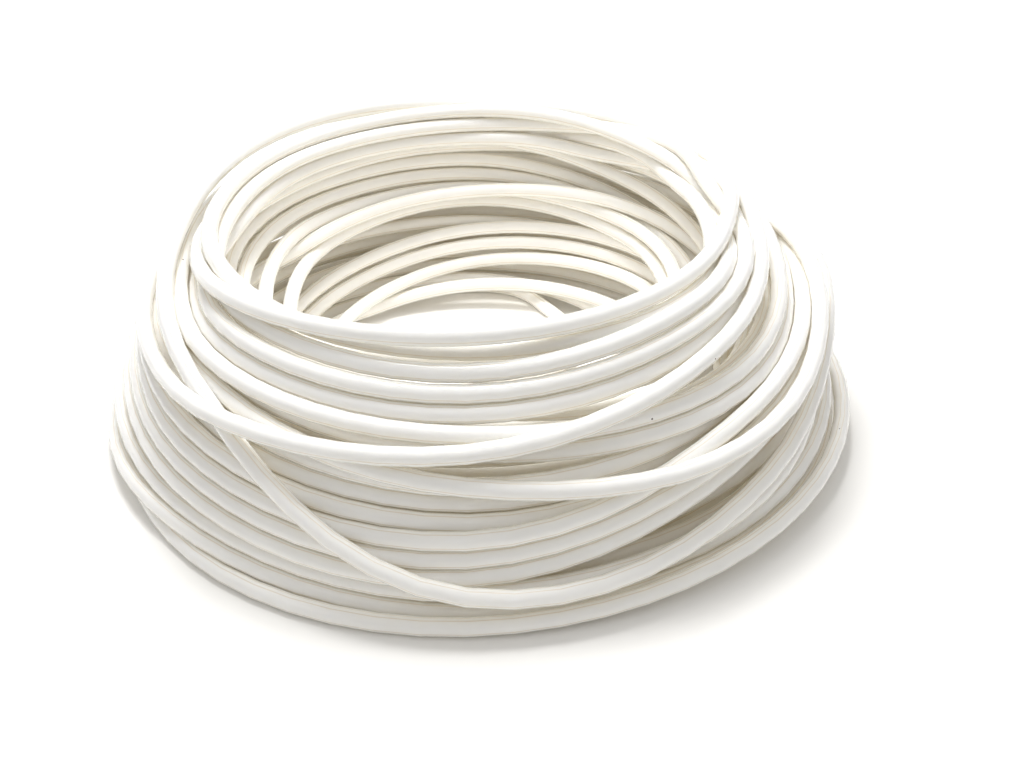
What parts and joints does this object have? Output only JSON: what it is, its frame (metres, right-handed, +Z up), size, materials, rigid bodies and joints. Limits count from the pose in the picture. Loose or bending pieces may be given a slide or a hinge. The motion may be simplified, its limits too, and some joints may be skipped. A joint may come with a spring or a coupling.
{
  "type": "silicone tubing coil",
  "caption": "Loose round coil of thin milky silicone tubing, wound in many overlapping turns, with a wide hole through the middle and both tube ends open.",
  "frame": {"origin": "middle of the coil's underside, on the surface it lies on", "axes": "+Z up along the coil's axis, through the hole; -Y towards the side that the picture shows in front; +X to the right of it"},
  "size_m": [0.2828, 0.2834, 0.083],
  "materials": {
    "silicone": "satin"
  },
  "bodies": {
    "root": {"tube_coil": "silicone"}
  },
  "joints": []
}
